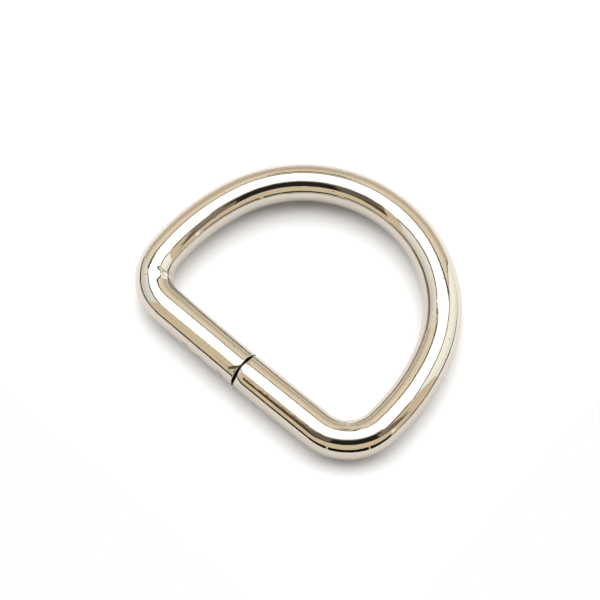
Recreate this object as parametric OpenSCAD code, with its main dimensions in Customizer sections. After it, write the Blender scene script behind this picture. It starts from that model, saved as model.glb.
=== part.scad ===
// D ring: one length of round plated wire, bent to a D and butted end to end.
// It lies flat. X runs along the straight bar, Y from the bar to the bow, Z up.
// The origin is under the middle of the outline, on the surface that it rests on.

/* [Wire] */
// Diameter of the round wire
wire_d = 4; // [2.5:0.1:5]
// Open gap between the two cut ends
butt_gap = 0.12; // [0.05:0.01:0.4]
// How far the gap lies to the right of the bar's middle
butt_off = 0.3; // [-2:0.1:2]
// Radius of the tumbled edge round each cut end
end_edge_r = 0.3; // [0.1:0.05:0.6]
// Length of the slight taper that runs into each cut end
end_taper_l = 0.9; // [0.7:0.1:2.5]
// How much the taper takes off the wire's radius
end_taper = 0.05; // [0.02:0.01:0.15]

/* [Eye] */
// Clear width inside the D, from flank to flank, where the strap lies
eye_w = 25.6; // [22:0.1:34]
// Clear height inside the D, from the bar to the top of the bow
eye_h = 19.7; // [17:0.1:23]

/* [Bends] */
// Inside radius of the two corner bends
corner_in_r = 2.7; // [1.5:0.1:4.5]
// Angle that each corner bend turns through
corner_turn = 85; // [78:1:90]
// Radius of the wire's centre line along each flank
flank_r = 23.8; // [21:0.1:32]

/* [Marks] */
// Width of the crease that the bending pin left inside each corner
crease_w = 0.6; // [0.3:0.05:1.2]
// Depth of that crease
crease_depth = 0.1; // [0.05:0.01:0.2]
// Where it lies in the bend, as the angle turned so far from the bar
crease_turn = 38; // [15:1:60]
// How far it climbs over the inner side, from level with the wire's middle
crease_climb = 60; // [30:1:80]
// How far it dips below that level
crease_dip = 15; // [5:1:40]

/* [Hidden] */
$fn = 96;

wire_r = wire_d / 2;
corner_r = corner_in_r + wire_r;
// The widest place of the centre line, and its top above the bar's own centre line
half_w = eye_w / 2 + wire_r;
rise = eye_h + wire_d;

// Straight half of the bar: what the corner and the flank leave of the width
bar_half = half_w - corner_r * sin(corner_turn) - flank_r * (1 - sin(corner_turn));
// The corner's centre is square above the end of the bar, and the flank's lies on the line
// from there through the place where the two meet
corner_at = [bar_half, corner_r];
flank_at = corner_at + (corner_r - flank_r) * [sin(corner_turn), -cos(corner_turn)];
// The bow runs smoothly out of both flanks and passes through the top
flank_drop = rise - flank_at.y;
bow_r = (pow(flank_r, 2) - pow(flank_at.x, 2) - pow(flank_drop, 2)) / (2 * (flank_r - flank_drop));
bow_at = [0, rise - bow_r];

// Directions from each arc's centre to the joins, measured from +X
corner_from = -90;
flank_from = corner_from + corner_turn;
bow_from = atan2(bow_at.y - flank_at.y, -flank_at.x);
bow_to = 180 - bow_from;

// The bends are a hair thinner than what they run into, and reach a little way into it,
// so that the whole wire is one solid
bend_thin = 0.01;
bend_lap = 0.05;

wire_color = [0.80, 0.77, 0.72];

// A stretch of wire bent round a centre, from one direction to the other
module bend(at, r, from, to, thin = 0, lap = 0) {
    reach = lap / r * 180 / PI;
    translate([at.x, at.y, wire_r])
        rotate_extrude(angle = to - from + 2 * reach, start = from - reach)
            translate([r, 0]) circle(r = wire_r - thin);
}

// One side of the bar, from its cut end to the corner
module bar_stretch(cut_at) {
    end_r = wire_r - end_taper;
    length = bar_half - cut_at;
    translate([cut_at, 0, wire_r])
        rotate([0, 90, 0])
            rotate_extrude() {
                square([end_r - end_edge_r, length]);
                translate([end_r - end_edge_r, end_edge_r]) circle(r = end_edge_r);
                polygon([
                    [0, end_edge_r],
                    [end_r, end_edge_r],
                    [wire_r, end_taper_l],
                    [wire_r, length],
                    [0, length]
                ]);
            }
}

// One side of the D, from its cut end to the end of the flank
module half_wire(cut_at) {
    bar_stretch(cut_at);
    bend(corner_at, corner_r, corner_from, flank_from, bend_thin, bend_lap);
    bend(flank_at, flank_r, flank_from, bow_from);
}

// A groove square to the wire, round the inner side of the corner bend
module crease() {
    groove_r = wire_r - crease_depth + crease_w / 2;
    translate([corner_at.x, corner_at.y, wire_r])
        rotate([0, 0, corner_from + crease_turn])
            translate([corner_r, 0, 0])
                rotate([90, 0, 0])
                    rotate_extrude(angle = crease_climb + crease_dip, start = 180 - crease_climb)
                        translate([groove_r, 0]) circle(d = crease_w);
}

module ring_wire() {
    color(wire_color)
        translate([0, -rise / 2, 0])
            difference() {
                union() {
                    half_wire(butt_off + butt_gap / 2);
                    mirror([1, 0, 0]) half_wire(-butt_off + butt_gap / 2);
                    bend(bow_at, bow_r, bow_from, bow_to, bend_thin, bend_lap);
                }
                crease();
                mirror([1, 0, 0]) crease();
            }
}

ring_wire();
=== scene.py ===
"""A bright nickel plated D ring, bent from round wire, lying on a pale floor in a soft studio."""

import math
from collections import namedtuple

import bmesh
import bpy
from bpy.props import FloatProperty, FloatVectorProperty, IntProperty, PointerProperty
from mathutils import Matrix, Vector, noise


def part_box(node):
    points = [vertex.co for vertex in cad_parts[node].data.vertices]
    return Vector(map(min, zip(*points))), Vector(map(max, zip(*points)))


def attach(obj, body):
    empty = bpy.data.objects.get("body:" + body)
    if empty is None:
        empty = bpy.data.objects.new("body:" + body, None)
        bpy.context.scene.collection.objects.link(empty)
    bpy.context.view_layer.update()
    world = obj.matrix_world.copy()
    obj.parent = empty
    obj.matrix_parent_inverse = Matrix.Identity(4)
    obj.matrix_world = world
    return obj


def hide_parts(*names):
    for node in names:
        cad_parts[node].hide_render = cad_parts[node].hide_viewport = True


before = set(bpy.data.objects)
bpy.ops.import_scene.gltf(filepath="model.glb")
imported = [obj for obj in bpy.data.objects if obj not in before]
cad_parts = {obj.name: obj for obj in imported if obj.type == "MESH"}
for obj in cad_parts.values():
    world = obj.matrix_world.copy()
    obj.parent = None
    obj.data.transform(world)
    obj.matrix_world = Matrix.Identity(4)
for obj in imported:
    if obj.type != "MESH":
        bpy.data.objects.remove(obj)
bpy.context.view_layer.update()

bl_info = {
    "name": "D ring",
    "version": (1, 0, 0),
    "blender": (4, 5, 0),
    "location": "View3D > Sidebar > D ring",
    "description": "Builds a bent wire D ring with its nickel plate, and the studio round it",
    "category": "Add Mesh",
}

MM = 0.001
WIRE_NODE = "ring_wire"
LOW, HIGH = (Vector(corner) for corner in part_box(WIRE_NODE))
BOX = HIGH - LOW

# The camera's bearing round the ring, from the front of the bar towards +X, the angle that it looks
# down at, the place on the floor in the middle of its view, and how far it stands from there
CAMERA_BEARING = math.radians(41.07)
CAMERA_CLIMB = math.radians(64.766)
CAMERA_TARGET = Vector((-1.2535, -1.4987, 0)) * MM
CAMERA_DISTANCE = 225.4 * MM
CAMERA_LENS = 130.486
CAMERA_SENSOR = 36


class RingSizes(bpy.types.PropertyGroup):
    """Sizes of the bent wire; the outline's own width and height come from the frame"""

    wire_d: FloatProperty(
        name="Wire diameter", description="Diameter of the round wire",
        default=BOX.z, unit="LENGTH",
    )
    outer_w: FloatProperty(
        name="Outer width", description="Width over the flanks",
        default=BOX.x, unit="LENGTH",
    )
    outer_h: FloatProperty(
        name="Outer height", description="From the bar's front to the bow's back",
        default=BOX.y, unit="LENGTH",
    )
    corner_in_r: FloatProperty(
        name="Inner corner radius", description="Inside radius of the corner bends",
        default=2.7 * MM, unit="LENGTH",
    )
    corner_turn: FloatProperty(
        name="Corner turn", description="Angle that a corner bend turns through",
        default=math.radians(85), subtype="ANGLE",
    )
    flank_r: FloatProperty(
        name="Flank radius", description="Radius of the centre line along the flanks",
        default=23.8 * MM, unit="LENGTH",
    )
    butt_gap: FloatProperty(
        name="Butt gap", description="Open gap between the cut ends",
        default=0.12 * MM, unit="LENGTH",
    )
    butt_off: FloatProperty(
        name="Gap's place", description="How far the gap lies to the right of the middle",
        default=0.3 * MM, unit="LENGTH",
    )
    sides: IntProperty(name="Sides", description="Sides of the wire's cross section", default=160, min=16)
    bar_step: FloatProperty(
        name="Bar step", description="Distance between cross sections along the bar",
        default=0.16 * MM, unit="LENGTH",
    )
    corner_step: FloatProperty(
        name="Corner step", description="The same distance in the corner bends",
        default=0.07 * MM, unit="LENGTH",
    )
    ring_step: FloatProperty(
        name="Ring step", description="The same distance along the flanks and the bow",
        default=0.4 * MM, unit="LENGTH",
    )


class RingMarks(bpy.types.PropertyGroup):
    """What cutting, bending and tumbling left on the wire"""

    edge_r: FloatProperty(
        name="Cut edge radius", description="Tumbled edge round each cut end",
        default=0.12 * MM, unit="LENGTH",
    )
    taper: FloatProperty(
        name="End taper", description="What the taper takes off the radius",
        default=0.05 * MM, unit="LENGTH",
    )
    taper_l: FloatProperty(
        name="Taper length", description="Length of the taper into a cut end",
        default=0.9 * MM, unit="LENGTH",
    )
    bar_lean: FloatProperty(
        name="Bar's lean", description="How far the bar's left half leans inwards at its corner",
        default=0.20 * MM, unit="LENGTH",
    )
    rub_depth: FloatProperty(
        name="Rub depth", description="Depth of the rubbed patches",
        default=0.006 * MM, unit="LENGTH",
    )
    ripple: FloatProperty(
        name="Ripple", description="Unevenness of the drawn wire",
        default=0.0045 * MM, unit="LENGTH",
    )


class NickelPlate(bpy.types.PropertyGroup):
    """Colours and gloss of the plated wire"""

    pink: FloatVectorProperty(
        name="Warm nickel", description="Colour of the bright plate where it is pinkish",
        default=(0.65, 0.59, 0.55), subtype="COLOR", size=3,
    )
    olive: FloatVectorProperty(
        name="Cool nickel", description="Colour of the bright plate where it is greenish",
        default=(0.62, 0.60, 0.53), subtype="COLOR", size=3,
    )
    shade: FloatVectorProperty(
        name="Dull nickel", description="Colour of its duller streaks",
        default=(0.57, 0.53, 0.48), subtype="COLOR", size=3,
    )
    # Dark colour of the cut faces and the grooves: partly cut steel, partly painted shade in the narrow gap
    # and in the grooves
    steel_and_shade: FloatVectorProperty(
        name="Cut steel", description="Colour of the cut faces",
        default=(0.10, 0.08, 0.055), subtype="COLOR", size=3,
    )
    rough: FloatProperty(name="Roughness", description="Roughness of the bright plate", default=0.035)


class Studio(bpy.types.PropertyGroup):
    """The floor, the walls that the plate mirrors, and the light"""

    floor_color: FloatVectorProperty(
        name="Floor", description="Colour of the paper floor",
        default=(0.77, 0.765, 0.76), subtype="COLOR", size=3,
    )
    # The plate mirrors the floor darker than the camera sees it: painted shade in front of the ring and
    # painted light behind it, for light that comes mostly from the far side
    mirrored_floor_shaded: FloatVectorProperty(
        name="Mirrored floor in front", description="What the plate mirrors of the floor's near side",
        default=(0.67, 0.64, 0.62), subtype="COLOR", size=3,
    )
    mirrored_floor_lit: FloatVectorProperty(
        name="Mirrored floor behind", description="What the plate mirrors of the floor's far side",
        default=(0.74, 0.72, 0.70), subtype="COLOR", size=3,
    )
    floor_fade: FloatProperty(
        name="Floor fade", description="From the ring's middle to where each of those two is pure",
        default=20 * MM, unit="LENGTH",
    )
    floor_rough: FloatProperty(name="Floor roughness", description="Satin of the paper", default=0.5)
    floor_size: FloatProperty(
        name="Floor size", description="Side of the square floor",
        default=2.0, unit="LENGTH",
    )
    floor_margin: FloatProperty(
        name="Floor margin", description="From the ring's middle to the floor's front and right edges",
        default=29 * MM, unit="LENGTH",
    )
    floor_drop: FloatProperty(
        name="Floor drop", description="How far the floor lies under the ring",
        default=0.01 * MM, unit="LENGTH",
    )
    ground: FloatVectorProperty(
        name="Ground", description="Colour of the ground beyond the floor",
        default=(1.02, 1.0, 0.94), subtype="COLOR", size=3,
    )
    ceiling: FloatProperty(name="Ceiling", description="Brightness of the white ceiling", default=1.9)
    front_light: FloatProperty(name="Front light", description="Soft light from the near side", default=0.4)
    back_light: FloatProperty(name="Back light", description="Soft light from the far side", default=3.0)


class Outline:
    """The wire's centre line, worked out from the sizes, with the bar on y = 0"""

    # A place belongs to the bar if it is nearer to the bar's centre line than this many wire radii
    BAR_REACH = 1.1

    def __init__(self, sizes):
        self.wire_r = sizes.wire_d / 2
        self.half_w = sizes.outer_w / 2 - self.wire_r
        self.rise = sizes.outer_h - sizes.wire_d
        self.corner_r = sizes.corner_in_r + self.wire_r
        self.flank_r = sizes.flank_r
        turn = sizes.corner_turn
        sin_turn = math.sin(turn)
        self.bar_half = self.half_w - self.corner_r * sin_turn - self.flank_r * (1 - sin_turn)
        self.corner_at = Vector((self.bar_half, self.corner_r))
        outwards = Vector((sin_turn, -math.cos(turn)))
        self.flank_at = self.corner_at + (self.corner_r - self.flank_r) * outwards
        drop = self.rise - self.flank_at.y
        spare = self.flank_r ** 2 - self.flank_at.x ** 2 - drop ** 2
        self.bow_r = spare / (2 * (self.flank_r - drop))
        self.bow_at = Vector((0, self.rise - self.bow_r))
        # Directions from the arcs' centres to the joins, from +X
        self.corner_from = -math.pi / 2
        self.flank_from = self.corner_from + turn
        self.bow_from = math.atan2(self.bow_at.y - self.flank_at.y, -self.flank_at.x)
        # Lengths along the wire from the bar's middle to the joins, and to the top of the bow
        corner_s = self.bar_half
        flank_s = corner_s + self.corner_r * turn
        bow_s = flank_s + self.flank_r * (self.bow_from - self.flank_from)
        self.half_s = bow_s + self.bow_r * (math.pi / 2 - self.bow_from)
        # The arcs, as on_arc takes them
        self.corner = (self.corner_at, self.corner_r, self.corner_from, corner_s)
        self.flank = (self.flank_at, self.flank_r, self.flank_from, flank_s)
        self.bow = (self.bow_at, self.bow_r, self.bow_from, bow_s)

    def locate(self, point):
        """(length along the wire, centre of the section, unit vector from it to the eye) for a point"""
        side = -1 if point.x < 0 else 1
        flat = Vector((abs(point.x), point.y))
        from_corner = flat - self.corner_at
        from_bow = flat - self.bow_at
        in_corner = from_corner.x > 0 and math.atan2(from_corner.y, from_corner.x) < self.flank_from
        if flat.x <= self.bar_half and flat.y < self.wire_r * self.BAR_REACH:
            s, centre, inward = flat.x, Vector((flat.x, 0)), Vector((0, 1))
        elif in_corner:
            s, centre, inward = self.on_arc(flat, *self.corner)
        elif math.atan2(from_bow.y, from_bow.x) < self.bow_from:
            s, centre, inward = self.on_arc(flat, *self.flank)
        else:
            s, centre, inward = self.on_arc(flat, *self.bow)
        return (
            side * s,
            Vector((side * centre.x, centre.y, self.wire_r)),
            Vector((side * inward.x, inward.y, 0)),
        )

    @staticmethod
    def on_arc(flat, at, radius, start, start_s):
        """The same three for a point on the arc round a centre, which starts at a direction and a length"""
        offset = flat - at
        angle = math.atan2(offset.y, offset.x)
        outward = offset.normalized()
        return start_s + radius * (angle - start), at + outward * radius, -outward


# Cross sections beside a cut end: how many cover its rounded edge, how far the next one is from
# them, and how much each distance grows, up to the bar's own step
EDGE_SECTIONS = 10
FIRST_STEP = 0.03 * MM
STEP_GROWTH = 1.04
# Steps of one spin at most
SPIN_STEPS = 30
# Doubles between the stretches are this near to each other
MERGE_DISTANCE = 0.002 * MM


def steps_of(length, step):
    """Number of equal steps nearest to the asked one"""
    return max(1, round(length / step))


def end_places(marks, length, step):
    """Distances of the cross sections from a cut end, close together over its rounded edge"""
    turns = [math.pi / 2 * k / EDGE_SECTIONS for k in range(EDGE_SECTIONS + 1)]
    places = [marks.edge_r * (1 - math.cos(turn)) for turn in turns]
    gap = FIRST_STEP
    while places[-1] + gap < length - step:
        places.append(places[-1] + gap)
        gap = min(gap * STEP_GROWTH, step)
    start = places[-1]
    left = length - start
    count = steps_of(left, step)
    places += [start + left * k / count for k in range(1, count + 1)]
    return places


def circle_at(sizes, place, facing, cap=False):
    """A new mesh with one upright circle of the wire's section, and its ring of edges"""
    bm = bmesh.new()
    stand = Matrix.Translation(place) @ Matrix.Rotation(facing, 4, "Z") @ Matrix.Rotation(math.pi / 2, 4, "X")
    verts = bmesh.ops.create_circle(
        bm, cap_ends=cap, segments=sizes.sides, radius=sizes.wire_d / 2, matrix=stand
    )["verts"]
    return bm, list({e for v in verts for e in v.link_edges})


def join_to(whole, part):
    """Adds a finished stretch to the wire"""
    carrier = bpy.data.meshes.new("stretch")
    part.to_mesh(carrier)
    part.free()
    whole.from_mesh(carrier)
    bpy.data.meshes.remove(carrier)


def add_bar(whole, sizes, marks, outline, cut_at, side):
    """Extrudes one half of the bar from its cut end to the corner"""
    places = end_places(marks, outline.bar_half - side * cut_at, sizes.bar_step)
    bm, loop = circle_at(sizes, (cut_at, 0, outline.wire_r), side * math.pi / 2, cap=True)
    at = 0.0
    for place in places[1:]:
        grown = bmesh.ops.extrude_edge_only(bm, edges=loop)["geom"]
        verts = [g for g in grown if isinstance(g, bmesh.types.BMVert)]
        loop = [g for g in grown if isinstance(g, bmesh.types.BMEdge)]
        bmesh.ops.translate(bm, verts=verts, vec=(side * (place - at), 0, 0))
        at = place
    join_to(whole, bm)


def add_bend(whole, sizes, outline, centre, radius, start, angle, step):
    """Spins the wire's section round a bend, a short stretch at a time"""
    count = steps_of(radius * angle, step)
    done = 0
    while done < count:
        steps = min(SPIN_STEPS, count - done)
        turned = start + angle * done / count
        place = (
            centre[0] + radius * math.cos(turned),
            centre[1] + radius * math.sin(turned),
            outline.wire_r,
        )
        bm, loop = circle_at(sizes, place, turned)
        bmesh.ops.spin(
            bm,
            geom=loop,
            cent=(centre[0], centre[1], 0),
            axis=(0, 0, 1),
            angle=angle * steps / count,
            steps=steps,
        )
        join_to(whole, bm)
        done += steps


def cut_ends(sizes):
    """Where the right and the left cut end lie along the bar"""
    return sizes.butt_off + sizes.butt_gap / 2, sizes.butt_off - sizes.butt_gap / 2


def build_wire(bm, sizes, marks, outline):
    """One length of round wire, from the right cut end round the bow to the left one"""
    cut_right, cut_left = cut_ends(sizes)
    add_bar(bm, sizes, marks, outline, cut_right, 1)
    add_bar(bm, sizes, marks, outline, cut_left, -1)
    corner, flank = outline.corner_at, outline.flank_at
    corner_r, flank_r = outline.corner_r, outline.flank_r
    turn = sizes.corner_turn
    lean = outline.bow_from - outline.flank_from
    over = math.pi - 2 * outline.bow_from
    left_flank_from = math.pi - outline.bow_from
    left_corner_from = math.pi - outline.flank_from
    add_bend(bm, sizes, outline, corner, corner_r, outline.corner_from, turn, sizes.corner_step)
    add_bend(bm, sizes, outline, flank, flank_r, outline.flank_from, lean, sizes.ring_step)
    add_bend(bm, sizes, outline, outline.bow_at, outline.bow_r, outline.bow_from, over, sizes.ring_step)
    add_bend(bm, sizes, outline, (-flank.x, flank.y), flank_r, left_flank_from, lean, sizes.ring_step)
    add_bend(bm, sizes, outline, (-corner.x, corner.y), corner_r, left_corner_from, turn, sizes.corner_step)
    bmesh.ops.remove_doubles(bm, verts=bm.verts, dist=MERGE_DISTANCE)
    bmesh.ops.recalc_face_normals(bm, faces=bm.faces)


def bell(x, half):
    """Smooth hump of height 1 and the given half width"""
    return (0.5 + 0.5 * math.cos(math.pi * x / half)) if abs(x) < half else 0.0


def ease(x, low, high):
    """Smooth step from 0 at low to 1 at high"""
    t = min(1.0, max(0.0, (x - low) / (high - low)))
    return t * t * (3 - 2 * t)


# A straight groove pressed into the surface. Its ends are places along the wire in mm, from the
# bar's middle towards +X, and angles round it in degrees, from the inner side over the top.
# Width and depth are in mm, and a negative depth is a raised lip. Dark is how much of the dark
# steel colour the groove takes at its deepest, and above 1 it spreads beside that too: painted
# shade in the groove, partly steel that shows through the plate.
Groove = namedtuple("Groove", "name s0 turn0 s1 turn1 width depth dark", defaults=(0.0,))

GROOVES = [
    Groove("nick beside the joint", -0.55, 131, 0.24, 106, 0.36, 0.016, 2.2),
    Groove("nick's upper edge", -0.30, 122, 0.24, 104, 0.14, 0.020, 1.5),
    Groove("nick's lower edge", -0.65, 134, 0.15, 116, 0.16, 0.014, 1.5),
    Groove("burr under the nick", -0.30, 133, 0.22, 130, 0.36, -0.015),
    Groove("left crease", -13.35, 50, -13.25, -15, 0.30, 0.040),
    Groove("left wrinkle", -14.35, 60, -14.05, 34, 0.26, 0.016),
    Groove("left pinch", -14.20, 65, -13.20, 59, 0.30, 0.022, 0.35),
    Groove("right crease", 12.66, 50, 12.78, -15, 0.42, 0.040),
    Groove("right scoop", 13.30, 46, 14.60, 42, 0.90, 0.045),
    Groove("right crease's lip", 13.20, 60, 13.30, 40, 0.50, -0.022),
    Groove("right wrinkle", 12.45, 71, 14.60, 77, 0.26, 0.010),
    Groove("right tool line", 13.30, 82, 15.30, 89, 0.20, 0.004),
    Groove("scratch under the bar", -1.75, 165, -0.85, 180, 0.22, 0.028, 1.6),
    Groove("second scratch", 0.80, 176, 2.10, 190, 0.22, 0.020, 1.0),
    Groove("third scratch", -6.60, 172, -5.60, 176, 0.26, 0.020, 1.0),
    Groove("fourth scratch", -4.60, 174, -3.60, 184, 0.26, 0.020, 1.3),
    Groove("dot beside the joint", 0.58, 83, 0.74, 82, 0.16, 0.010),
    Groove("pit in the right corner", 12.95, 105, 13.02, 104, 0.14, 0.010),
]

# No groove shows further past its ends than this, in mm
GROOVE_REACH = 1
# Share of its length over which a long groove runs in
GROOVE_RUN_IN = 0.3

# A swelling squeezed up beside a bending pin. Its peak is a place along the wire in mm, it runs
# in over the length before it and out over the length after it, and it is highest at the middle
# of its angles.
Swell = namedtuple("Swell", "name s before after turn0 turn1 height")

SWELLS = [
    Swell("left corner's broad fold", -14.00, 0.80, 1.20, 10, 94, 0.060),
    Swell("left corner's sharp fold", -13.75, 0.50, 0.60, 25, 68, 0.045),
    Swell("right corner's fold", 12.95, 0.50, 0.60, 25, 70, 0.020),
]

# A dull, rubbed patch. Its middle and its half widths are in mm along the wire and in degrees
# round it.
Patch = namedtuple("Patch", "name s half turn half_turn amount")

PATCHES = [
    Patch("right corner's rubbed place", 13.0, 1.7, 56, 20, 1.5),
    Patch("right flank's scuff", 30.0, 1.6, 66, 22, 0.7),
    Patch("left corner's rubbed place", -13.7, 0.8, 57, 16, 1.0),
    Patch("nick's floor", -0.15, 0.6, 119, 14, 0.25),
]

# What tumbling did to a cut end. Taper and length are shares of the taper's own depth and length,
# and the outer ones are added to them on the outer side. The last two are how far the edge stands
# back from the gap on the outer and the inner side, in mm.
CutEnd = namedtuple("CutEnd", "taper outer_taper length outer_length outer_back inner_back")

RIGHT_END = CutEnd(0.6, 1.5, 0.55, 0.75, 0.15, 0.10)
LEFT_END = CutEnd(0.25, 0.0, 0.3, 0.0, 0.03, 0.08)

# Angles over which the outer side begins, and the middles and half widths of the two places where
# the edge stands back, in degrees round the wire
OUTER_SIDE = (100, 145)
OUTER_BACK = (146, 42)
INNER_BACK = (72, 26)

# Lengths over which a stood back edge and the bar's lean fade out, and how near to a cut end the
# surface is still its flat face
BACK_REACH = 0.6 * MM
LEAN_FADE = 3 * MM
CUT_FACE = 0.02 * MM

# The drawn wire's unevenness is noise, drawn out along it, of a broad and a fine kind
DRAWN_OUT = 0.55
BROAD_NOISE = 0.9
FINE_NOISE = 2.3
FINE_SHARE = 0.25
MOST_UNEVEN = 1.2

# The rubbed patches' own noise, for each mm along the wire and each degree round it
RUB_ALONG = 5
RUB_ROUND = 0.2


def groove_depth(groove, s, turn, wire_r):
    """Depth that a groove gives a place on the surface, all in mm and degrees"""
    around = math.radians(1) * wire_r
    ax, ay = s - groove.s0, (turn - groove.turn0) * around
    bx, by = groove.s1 - groove.s0, (groove.turn1 - groove.turn0) * around
    length = math.hypot(bx, by)
    along = (ax * bx + ay * by) / length
    off = abs(ax * by - ay * bx) / length
    half = groove.width / 2
    if off > half or along < -half or along > length + half:
        return 0.0
    beyond = max(0.0, -along, along - length)
    if beyond:
        off = math.hypot(off, beyond)
    run_in = max(half, length * GROOVE_RUN_IN)
    ends = min(ease(along, -half, run_in), ease(length - along, -half, run_in))
    return groove.depth * bell(off, half) * ends


def swell_height(swell, s, turn):
    """Height that a swelling gives a place on the surface, all in mm and degrees"""
    along = s - swell.s
    middle, half = (swell.turn0 + swell.turn1) / 2, (swell.turn1 - swell.turn0) / 2
    return swell.height * bell(along, swell.before if along < 0 else swell.after) * bell(turn - middle, half)


def rub_at(s, turn):
    """How much a place in mm and degrees is rubbed"""
    rub = 0.0
    for patch in PATCHES:
        rub += patch.amount * bell(s - patch.s, patch.half) * bell(turn - patch.turn, patch.half_turn)
    return rub


def rub_noise(s, turn):
    """Share of the rub's depth at a place in mm and degrees"""
    return 0.5 + 0.5 * noise.noise(Vector((s * RUB_ALONG, turn * RUB_ROUND, 0)))


def unevenness(s, section, wire_r):
    """Share of the ripple's depth at a length and a unit vector of the section, in mm"""
    spot = Vector((s * DRAWN_OUT, section.x * wire_r, section.y * wire_r))
    uneven = 0.5 + 0.5 * noise.noise(spot * BROAD_NOISE) + FINE_SHARE * noise.noise(spot * FINE_NOISE)
    return max(0.0, min(MOST_UNEVEN, uneven))


def lean_inwards(marks, outline, s):
    """How far the bar's left half stands inwards, from its cut end to the corner and back to nothing"""
    reach = outline.bar_half
    if s > 0:
        return 0.0
    return marks.bar_lean * min(1.0, -s / reach) * (1 - ease(-s, reach, reach + LEAN_FADE))


def end_cut(marks, end, distance, turn):
    """How much the radius is reduced near a cut end; the outer side is rounded the most"""
    outer = ease(turn, *OUTER_SIDE)
    taper = marks.taper * (end.taper + end.outer_taper * outer)
    taper_l = marks.taper_l * (end.length + end.outer_length * outer)
    cut = 0.0
    if distance < taper_l:
        cut += taper * (1 - distance / taper_l) ** 2
    if distance < marks.edge_r:
        inside = marks.edge_r - distance
        cut += marks.edge_r - math.sqrt(max(0, marks.edge_r ** 2 - inside ** 2))
    return cut


def stand_back(end, distance, turn):
    """How far the cut edge stands back from the gap, on the inner and the outer side"""
    if distance > BACK_REACH:
        return 0.0
    outer_middle, outer_half = OUTER_BACK
    inner_middle, inner_half = INNER_BACK
    back = end.outer_back * bell(turn - outer_middle, outer_half)
    back += end.inner_back * bell(turn - inner_middle, inner_half)
    return back * MM * (1 - distance / BACK_REACH) ** 2


def press_marks(bm, sizes, marks, outline):
    """Moves the surface where cutting, bending and tumbling left marks"""
    place = bm.verts.layers.float_vector.new("wire_place")
    # Share of the dark steel colour: all of it on the cut faces in the gap, and by depth in the grooves;
    # partly steel, partly painted shade
    steel_and_shade = bm.verts.layers.float.new("steel_and_shade_share")
    rubbed = bm.verts.layers.float.new("rubbed")
    cut_right, cut_left = cut_ends(sizes)
    wire_r_mm = outline.wire_r / MM
    for vert in bm.verts:
        s, centre, inward = outline.locate(vert.co)
        offset = vert.co - centre
        reach = offset.length
        theta = math.atan2(offset.z, offset.dot(inward))
        turn = math.degrees(theta)
        turn = turn + 360 if turn < -90 else turn
        right = s > sizes.butt_off
        side, end = (1, RIGHT_END) if right else (-1, LEFT_END)
        distance = s - cut_right if right else cut_left - s
        length_s = s if right else s + 2 * outline.half_s
        shift = 0.0
        steel = 0.0
        if abs(s) < outline.bar_half:
            reach -= end_cut(marks, end, distance, turn)
            shift = side * stand_back(end, distance, turn)
            # The cut faces in the narrow gap take the dark colour: partly steel, partly painted shade of the
            # gap
            steel = 1.0 if distance < CUT_FACE else 0.0
        for groove in GROOVES:
            if groove.s0 - GROOVE_REACH < s / MM < groove.s1 + GROOVE_REACH:
                pressed = groove_depth(groove, s / MM, turn, wire_r_mm)
                reach -= pressed * MM
                # A groove takes the dark colour by its depth: painted shade in the groove, partly steel
                # through the plate
                steel = max(steel, min(1.0, groove.dark * pressed / groove.depth))
        for swell in SWELLS:
            reach += swell_height(swell, s / MM, turn) * MM
        section = Vector((math.cos(theta), math.sin(theta)))
        reach -= marks.ripple * unevenness(length_s / MM, section, wire_r_mm)
        rub = rub_at(s / MM, turn)
        if rub:
            reach -= marks.rub_depth * rub * rub_noise(s / MM, turn)
        # No mark stands out past the wire's own outer side or its top
        inside = max(reach * section.x, -outline.wire_r) + lean_inwards(marks, outline, s)
        climb = min(reach * section.y, outline.wire_r)
        vert.co = centre + inward * inside + Vector((shift, 0, climb))
        vert[place] = (length_s, outline.wire_r * section.x, outline.wire_r * section.y)
        vert[steel_and_shade] = steel
        vert[rubbed] = rub


def add_node(tree, kind, inputs=(), **settings):
    """Adds a node, sets its options, and fills its inputs with values or other nodes' outputs"""
    made = tree.nodes.new(kind)
    for key, value in settings.items():
        setattr(made, key, value)
    for key, value in dict(inputs).items():
        if isinstance(value, bpy.types.NodeSocket):
            tree.links.new(value, made.inputs[key])
        else:
            made.inputs[key].default_value = value
    return made


def calc(tree, operation, first, second=0.0):
    """Output of a Math node"""
    return add_node(tree, "ShaderNodeMath", {0: first, 1: second}, operation=operation).outputs[0]


def smooth_range(tree, value, low, high, to_low=0.0, to_high=1.0):
    """Output of a Map Range node that eases in and out"""
    inputs = {"Value": value, "From Min": low, "From Max": high, "To Min": to_low, "To Max": to_high}
    return add_node(tree, "ShaderNodeMapRange", inputs, interpolation_type="SMOOTHSTEP").outputs[0]


def mix_color(tree, factor, first, second):
    """Output of a Mix node between two colours"""
    inputs = {0: factor, 6: first, 7: second}
    return add_node(tree, "ShaderNodeMix", inputs, data_type="RGBA").outputs[2]


def attribute(tree, name, output="Fac"):
    """Output of a mesh attribute"""
    return add_node(tree, "ShaderNodeAttribute", attribute_name=name).outputs[output]


def noise_at(tree, place, scale, detail):
    """Output of a Noise Texture node"""
    inputs = {"Vector": place, "Scale": scale, "Detail": detail}
    return add_node(tree, "ShaderNodeTexNoise", inputs).outputs["Fac"]


def turned_about_z(tree, vector, angle):
    """A vector's x, y and z outputs after a turn about the z axis"""
    inputs = {"Vector": vector, "Angle": angle}
    turned = add_node(tree, "ShaderNodeVectorRotate", inputs, rotation_type="Z_AXIS")
    return add_node(tree, "ShaderNodeSeparateXYZ", {0: turned.outputs[0]}).outputs


def opaque(color):
    """A colour with full alpha"""
    return (*color, 1.0)


def new_tree(block):
    """The emptied node tree of a material or a world"""
    block.use_nodes = True
    block.node_tree.nodes.clear()
    return block.node_tree


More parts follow.
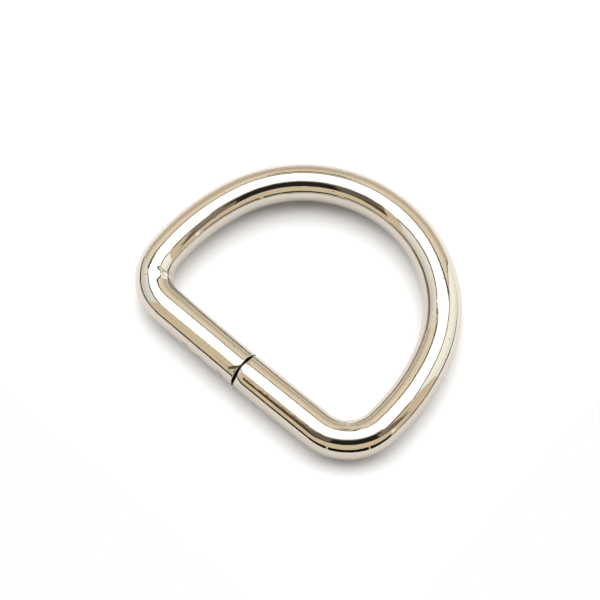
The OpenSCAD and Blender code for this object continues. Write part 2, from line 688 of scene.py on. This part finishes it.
# Noise cells to a metre in the plate's patterns; the streaks' are along the wire and across it
STREAK_CELLS = (130, 2600, 2600)
SPECK_CELLS = 2400.0
MOTTLE_CELLS = 800.0
RIPPLE_CELLS = 1500.0
# Height of the fine ripple, and the shares of it that a streak stands up and a pit sinks in
RELIEF = 0.004 * MM
STREAK_RISE = 0.5
PIT_SINK = 0.6
# How much steel shows in a pit, how many times rougher than the plate a streak is, and what the
# cut faces and grooves that take the dark steel colour, and a rubbed place, add to the roughness
PIT_STEEL = 0.5
STREAK_ROUGH = 2.2
STEEL_ROUGH = 0.4
RUB_ROUGH = (0.12, 0.34)


def nickel_material(plate):
    """Bright nickel plate with drawing streaks, fine grain and pits, and a dark colour on the cut faces and
    in the grooves that is partly steel and partly painted shade
    """
    material = bpy.data.materials.new("nickel_plate")
    tree = new_tree(material)
    place = attribute(tree, "wire_place", "Vector")
    steel_and_shade = attribute(tree, "steel_and_shade_share")
    rubbed = attribute(tree, "rubbed")
    drawn_out = add_node(tree, "ShaderNodeMapping", {"Vector": place, "Scale": STREAK_CELLS}).outputs[0]
    streaks = noise_at(tree, drawn_out, 1.0, 4.0)
    specks = noise_at(tree, place, SPECK_CELLS, 2.0)
    mottle = noise_at(tree, place, MOTTLE_CELLS, 2.0)
    ripple = noise_at(tree, place, RIPPLE_CELLS, 2.0)
    pitted = smooth_range(tree, specks, 0.70, 0.78)

    color = mix_color(tree, smooth_range(tree, mottle, 0.36, 0.64), opaque(plate.pink), opaque(plate.olive))
    color = mix_color(tree, smooth_range(tree, streaks, 0.42, 0.78), color, opaque(plate.shade))
    color = mix_color(tree, calc(tree, "MULTIPLY", pitted, PIT_STEEL), color, opaque(plate.steel_and_shade))
    # Painted shade in the gap and the grooves, partly the colour of steel
    color = mix_color(tree, steel_and_shade, color, opaque(plate.steel_and_shade))

    grain = smooth_range(tree, specks, 0.35, 0.65, *RUB_ROUGH)
    rough = smooth_range(tree, streaks, 0.4, 0.8, plate.rough, plate.rough * STREAK_ROUGH)
    rough = calc(tree, "ADD", rough, calc(tree, "MULTIPLY", steel_and_shade, STEEL_ROUGH))
    rough = calc(tree, "ADD", rough, calc(tree, "MULTIPLY", rubbed, grain))

    height = calc(tree, "ADD", calc(tree, "MULTIPLY", streaks, STREAK_RISE), ripple)
    height = calc(tree, "SUBTRACT", height, calc(tree, "MULTIPLY", pitted, PIT_SINK))
    relief = {"Height": height, "Strength": 1.0, "Distance": RELIEF}
    bump = add_node(tree, "ShaderNodeBump", relief).outputs["Normal"]

    surface = {"Base Color": color, "Metallic": 1.0, "Roughness": rough, "Normal": bump}
    shader = add_node(tree, "ShaderNodeBsdfPrincipled", surface)
    add_node(tree, "ShaderNodeOutputMaterial", {"Surface": shader.outputs[0]})
    return material


TAN = (0.92, 0.79, 0.56)
WALL = (1.13, 1.0, 0.79)
WALL_FOOT = (0.68, 0.60, 0.44)
CREAM = (1.39, 1.41, 1.28)
CREAM_FOOT = (1.26, 1.30, 1.18)
PALE = (1.17, 1.18, 1.11)
PALE_FOOT = (0.92, 0.90, 0.81)
BROWN = (0.20, 0.17, 0.145)
LIGHT_BROWN = (0.36, 0.31, 0.25)
MID_BROWN = (0.30, 0.26, 0.21)
WARM_BROWN = (0.13, 0.08, 0.04)
DARK_BROWN = (0.06, 0.045, 0.028)
GREY_BROWN = (0.42, 0.38, 0.34)
BLACK = (0.026, 0.024, 0.020)
SKIRT = (0.014, 0.011, 0.008)
LINE = (0.10, 0.07, 0.05)
RIM = (0.08, 0.06, 0.045)
WHITE = (1.6, 1.5, 1.4)
BACKDROP = (1.0, 1.0, 1.0)

# Each card stands upright at a unit distance. Its bearing is counted from the camera's, in
# degrees towards +X. Left, right, bottom and top are its edges on that card, seen from the ring,
# as tangents, and the soft edges are widths on the same scale. Below the fade height it turns to
# the foot colour, where it has one. The rim is the dark share of its height under the top edge,
# and ragged is how far its edges waver. A later card covers an earlier one.
Card = namedtuple(
    "Card",
    "name bearing left right bottom top side_edge top_edge color foot fade rim ragged",
    defaults=(None, 0.01, 0.0, 0.006),
)

CARDS = [
    Card("back wall", 178, -1.29, 1.29, 0.12, 1.72, 0.02, 0.03, WALL, WALL_FOOT, 1.0, 0.13),
    Card("back wall's foot", 178, -1.29, 1.29, 0.02, 0.24, 0.04, 0.06, WALL),
    Card("back wall's line", 178, -1.29, 1.29, 0.03, 0.10, 0.01, 0.015, LINE),
    Card("back wall's upper line", 179, -0.11, 0.11, 1.04, 1.24, 0.02, 0.02, DARK_BROWN),
    Card("left diffuser", -102, -0.54, 0.54, 0.0, 1.36, 0.02, 0.04, PALE, PALE_FOOT, 0.8, 0.15),
    Card("left strip", -66, -0.14, 0.14, 0.0, 1.42, 0.02, 0.04, TAN, rim=0.05),
    Card("left line", -102, -0.54, 0.85, -0.02, 0.13, 0.02, 0.03, LINE),
    Card("right strip", 76, -0.14, 0.14, -0.05, 1.34, 0.02, 0.04, TAN, rim=0.15),
    Card("right diffuser", 101, -0.32, 0.55, -0.05, 1.22, 0.02, 0.04, CREAM, CREAM_FOOT, 0.5, 0.12),
    Card("right diffuser's edge", 101, 0.545, 0.575, 0.2, 1.10, 0.01, 0.02, LINE),
    Card("right line", 98, -0.80, 0.62, -0.17, -0.05, 0.02, 0.03, LINE),
    Card("room's fringe", 5, -1.92, 2.1, 0.0, 3.0, 0.05, 0.9, GREY_BROWN, ragged=0.08),
    Card("room", 5, -2.0, 2.1, 0.0, 2.45, 0.05, 0.4, BROWN, DARK_BROWN, 1.6, ragged=0.05),
    Card("room's left end, top", -57, -0.168, 0.03, 1.38, 1.62, 0.03, 0.1, MID_BROWN),
    Card("room's left end, high", -57, -0.125, 0.03, 1.16, 1.44, 0.03, 0.05, MID_BROWN),
    Card("room's left end, middle", -57, -0.10, 0.03, 0.96, 1.22, 0.02, 0.05, MID_BROWN),
    Card("room's left end, low", -57, -0.074, 0.03, 0.80, 1.02, 0.01, 0.05, MID_BROWN),
    Card("room's left end, foot", -57, -0.071, 0.03, 0.3, 0.83, 0.005, 0.04, WARM_BROWN),
    Card("room's left", -45, -0.215, 0.30, 0.3, 1.95, 0.04, 0.3, BROWN, DARK_BROWN, 1.0, ragged=0.05),
    Card("room's side", 58, -0.5, 0.19, 0.3, 1.95, 0.03, 0.5, LIGHT_BROWN, DARK_BROWN, 0.8, ragged=0.08),
    Card("dark room", 10, -0.73, 0.78, 0.72, 2.15, 0.06, 0.25, BLACK, ragged=0.04),
    Card("dark room's side", 10, 0.5, 1.05, 1.4, 2.15, 0.2, 0.25, BLACK, ragged=0.04),
    Card("front wall", 5, -2.225, 2.1, -0.12, 0.80, 0.02, 0.03, TAN, ragged=0.015),
    Card("front wall's left", -56, -0.11, 0.11, 0.0, 0.445, 0.02, 0.02, TAN),
    Card("skirting", 5, -2.6, 1.4, -0.20, 0.17, 0.02, 0.02, SKIRT),
    Card("left chink", -26, -0.02, 0.02, -0.2, 0.14, 0.02, 0.02, TAN),
    Card("right chink", 28, -0.015, 0.015, -0.2, 0.14, 0.02, 0.02, TAN),
    Card("wall's bright slit", 62, -0.01, 0.01, 0.06, 0.30, 0.01, 0.02, WHITE),
]

CARD_SOCKETS = {
    "Direction": "NodeSocketVector",
    "Behind": "NodeSocketColor",
    "Color": "NodeSocketColor",
    "Foot color": "NodeSocketColor",
    "Bearing": "NodeSocketFloat",
    "Left": "NodeSocketFloat",
    "Right": "NodeSocketFloat",
    "Bottom": "NodeSocketFloat",
    "Top": "NodeSocketFloat",
    "Side edge": "NodeSocketFloat",
    "Top edge": "NodeSocketFloat",
    "Fade": "NodeSocketFloat",
    "Rim": "NodeSocketFloat",
    "Wobble": "NodeSocketFloat",
    "Ragged": "NodeSocketFloat",
}

# The foot colour holds up to this share of the fade height
FOOT_SHARE = 0.3
# Smallest distance in front of the ring, and smallest rim, that count as more than nothing
TINY = 0.001
# How many times the cards' edges waver in a unit of direction
WAVER = 28.0
# How far under the horizon the ceiling's light has ended, as the sine of the angle
HORIZON = 0.02
# Where the soft light begins to be the far side's, and where it is all the far side's, as the
# share of a direction that points away from the camera
FAR_SIDE = (-0.3, 0.1)


def card_group():
    """Node group that lays one upright card over the studio behind it"""
    tree = bpy.data.node_groups.new("studio_card", "ShaderNodeTree")
    for name, kind in CARD_SOCKETS.items():
        tree.interface.new_socket(name, in_out="INPUT", socket_type=kind)
    tree.interface.new_socket("Color", in_out="OUTPUT", socket_type="NodeSocketColor")
    given = tree.nodes.new("NodeGroupInput").outputs
    axes = turned_about_z(tree, given["Direction"], calc(tree, "MULTIPLY", given["Bearing"], -1.0))
    ahead = calc(tree, "MULTIPLY", axes["Y"], -1.0)
    wobble = calc(tree, "MULTIPLY", given["Wobble"], given["Ragged"])
    across = calc(tree, "ADD", calc(tree, "DIVIDE", axes["X"], ahead), wobble)
    height = calc(tree, "ADD", calc(tree, "DIVIDE", axes["Z"], ahead), wobble)

    def past(value, edge, soft):
        """How far a value is past a soft edge, from 0 to 1"""
        half = calc(tree, "MULTIPLY", soft, 0.5)
        return smooth_range(tree, value, calc(tree, "SUBTRACT", edge, half), calc(tree, "ADD", edge, half))

    right = calc(tree, "SUBTRACT", 1.0, past(across, given["Right"], given["Side edge"]))
    top = calc(tree, "SUBTRACT", 1.0, past(height, given["Top"], given["Top edge"]))
    mask = calc(tree, "GREATER_THAN", ahead, TINY)
    mask = calc(tree, "MULTIPLY", mask, past(across, given["Left"], given["Side edge"]))
    mask = calc(tree, "MULTIPLY", mask, past(height, given["Bottom"], given["Side edge"]))
    mask = calc(tree, "MULTIPLY", mask, right)
    mask = calc(tree, "MULTIPLY", mask, top)

    raised = smooth_range(tree, calc(tree, "DIVIDE", height, given["Fade"]), FOOT_SHARE, 1.0)
    rim_from = calc(tree, "MULTIPLY", given["Top"], calc(tree, "SUBTRACT", 1.0, given["Rim"]))
    in_rim = calc(tree, "GREATER_THAN", height, rim_from)
    in_rim = calc(tree, "MULTIPLY", in_rim, calc(tree, "GREATER_THAN", given["Rim"], TINY))
    color = mix_color(tree, raised, given["Foot color"], given["Color"])
    color = mix_color(tree, in_rim, color, opaque(RIM))
    color = mix_color(tree, mask, given["Behind"], color)
    out = tree.nodes.new("NodeGroupOutput")
    tree.links.new(color, out.inputs[0])
    return tree


def lay_card(tree, group, card, direction, behind, wobble):
    """Colour of the studio with one more card in it"""
    inputs = {
        "Direction": direction,
        "Behind": behind,
        "Color": opaque(card.color),
        "Foot color": opaque(card.foot or card.color),
        "Bearing": CAMERA_BEARING + math.radians(card.bearing),
        "Left": card.left,
        "Right": card.right,
        "Bottom": card.bottom,
        "Top": card.top,
        "Side edge": card.side_edge,
        "Top edge": card.top_edge,
        "Fade": card.fade,
        "Rim": card.rim,
        "Wobble": wobble,
        "Ragged": card.ragged,
    }
    return add_node(tree, "ShaderNodeGroup", inputs, node_tree=group, label=card.name).outputs[0]


def studio_world(studio):
    """White ceiling with the upright cards under it for the plate to mirror, a plain pale backdrop
    for the camera, and a soft light for all else that is stronger on the far side"""
    world = bpy.data.worlds.new("studio")
    tree = new_tree(world)
    direction = add_node(tree, "ShaderNodeTexCoord").outputs["Generated"]
    up = add_node(tree, "ShaderNodeSeparateXYZ", {0: direction}).outputs["Z"]
    wobble = smooth_range(tree, noise_at(tree, direction, WAVER, 3.0), 0.3, 0.7, -1.0, 1.0)
    over = smooth_range(tree, up, -HORIZON, 0.0)
    mirrored = mix_color(tree, over, opaque(studio.ground), opaque((studio.ceiling,) * 3))
    group = card_group()
    for card in CARDS:
        mirrored = lay_card(tree, group, card, direction, mirrored, wobble)
    away = Vector((-math.sin(CAMERA_BEARING), math.cos(CAMERA_BEARING), 0))
    backwards = add_node(
        tree, "ShaderNodeVectorMath", {0: direction, 1: away}, operation="DOT_PRODUCT"
    ).outputs["Value"]
    lit = smooth_range(tree, backwards, *FAR_SIDE)
    soft = mix_color(tree, lit, opaque((studio.front_light,) * 3), opaque((studio.back_light,) * 3))
    rays = add_node(tree, "ShaderNodeLightPath").outputs
    color = mix_color(tree, rays["Is Glossy Ray"], soft, mirrored)
    color = mix_color(tree, rays["Is Camera Ray"], color, opaque(BACKDROP))
    light = add_node(tree, "ShaderNodeBackground", {"Color": color, "Strength": 1.0})
    add_node(tree, "ShaderNodeOutputWorld", {"Surface": light.outputs[0]})
    return world


def floor_material(studio):
    """Satin white paper; the plate mirrors it darker than the camera sees it, with painted shade in front and
    painted light behind
    """
    material = bpy.data.materials.new("paper_floor")
    tree = new_tree(material)
    place = add_node(tree, "ShaderNodeTexCoord").outputs["Object"]
    away = turned_about_z(tree, place, -CAMERA_BEARING)["Y"]
    # Painted shade towards the near side and painted light towards the far side, seen only by mirrored rays
    far = smooth_range(tree, away, -studio.floor_fade, studio.floor_fade)
    mirrored = mix_color(tree, far, opaque(studio.mirrored_floor_shaded), opaque(studio.mirrored_floor_lit))
    seen = add_node(tree, "ShaderNodeLightPath").outputs["Is Camera Ray"]
    surface = {
        "Base Color": mix_color(tree, seen, mirrored, opaque(studio.floor_color)),
        "Roughness": studio.floor_rough,
        "Specular IOR Level": 1.0,
    }
    shader = add_node(tree, "ShaderNodeBsdfPrincipled", surface)
    add_node(tree, "ShaderNodeOutputMaterial", {"Surface": shader.outputs[0]})
    return material


def add_object(name, bm, material):
    """Turns a bmesh into a smooth shaded object in the scene"""
    mesh = bpy.data.meshes.new(name)
    bm.to_mesh(mesh)
    bm.free()
    mesh.shade_smooth()
    mesh.materials.append(material)
    made = bpy.data.objects.new(name, mesh)
    bpy.context.scene.collection.objects.link(made)
    return made


def add_floor(studio):
    """A square of paper that reaches far behind the ring and to its left"""
    bm = bmesh.new()
    half = studio.floor_size / 2
    bmesh.ops.create_grid(bm, x_segments=1, y_segments=1, size=half)
    aside = half - studio.floor_margin
    bmesh.ops.translate(bm, verts=bm.verts, vec=(-aside, aside, -studio.floor_drop))
    return add_object("floor", bm, floor_material(studio))


def add_camera():
    """The camera looks down on the ring from the front right"""
    towards = Vector(
        (
            math.sin(CAMERA_BEARING) * math.cos(CAMERA_CLIMB),
            -math.cos(CAMERA_BEARING) * math.cos(CAMERA_CLIMB),
            math.sin(CAMERA_CLIMB),
        )
    )
    data = bpy.data.cameras.new("camera")
    data.lens = CAMERA_LENS
    data.sensor_width = CAMERA_SENSOR
    data.clip_start = 0.01
    data.clip_end = 20
    camera = bpy.data.objects.new("camera", data)
    camera.location = CAMERA_TARGET + towards * CAMERA_DISTANCE
    camera.rotation_euler = towards.to_track_quat("Z", "Y").to_euler()
    bpy.context.scene.collection.objects.link(camera)
    bpy.context.scene.camera = camera


class AddRingWire(bpy.types.Operator):
    """Adds the bent and plated wire"""

    bl_idname = "d_ring.add_wire"
    bl_label = "Ring wire"

    def execute(self, context):
        sizes = context.scene.ring_sizes
        marks = context.scene.ring_marks
        outline = Outline(sizes)
        bm = bmesh.new()
        build_wire(bm, sizes, marks, outline)
        press_marks(bm, sizes, marks, outline)
        middle = (LOW + HIGH) / 2
        bmesh.ops.translate(bm, verts=bm.verts, vec=(middle.x, middle.y - outline.rise / 2, LOW.z))
        wire = add_object("plated_wire", bm, nickel_material(context.scene.nickel_plate))
        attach(wire, "root")
        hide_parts(WIRE_NODE)
        return {"FINISHED"}


class AddStudio(bpy.types.Operator):
    """Adds the floor, the light and the camera"""

    bl_idname = "d_ring.add_studio"
    bl_label = "Studio"

    def execute(self, context):
        studio = context.scene.studio
        context.scene.world = studio_world(studio)
        context.scene.view_settings.view_transform = "Standard"
        floor = add_floor(studio)
        add_camera()
        return {"FINISHED"}


class RingPanel(bpy.types.Panel):
    """Buttons for the ring and its studio"""

    bl_idname = "VIEW3D_PT_d_ring"
    bl_label = "D ring"
    bl_space_type = "VIEW_3D"
    bl_region_type = "UI"
    bl_category = "D ring"

    def draw(self, context):
        for operator in (AddRingWire, AddStudio):
            self.layout.operator(operator.bl_idname)


CLASSES = (RingSizes, RingMarks, NickelPlate, Studio, AddRingWire, AddStudio, RingPanel)
GROUPS = {
    "ring_sizes": RingSizes,
    "ring_marks": RingMarks,
    "nickel_plate": NickelPlate,
    "studio": Studio,
}


def register():
    """Makes the classes and their settings known"""
    for cls in CLASSES:
        bpy.utils.register_class(cls)
    for name, group in GROUPS.items():
        setattr(bpy.types.Scene, name, PointerProperty(type=group))


def unregister():
    """Takes them away again"""
    for name in GROUPS:
        delattr(bpy.types.Scene, name)
    for cls in reversed(CLASSES):
        bpy.utils.unregister_class(cls)


def main():
    """Builds the ring and the studio"""
    register()
    bpy.ops.d_ring.add_wire()
    bpy.ops.d_ring.add_studio()


if __name__ == "__main__":
    main()
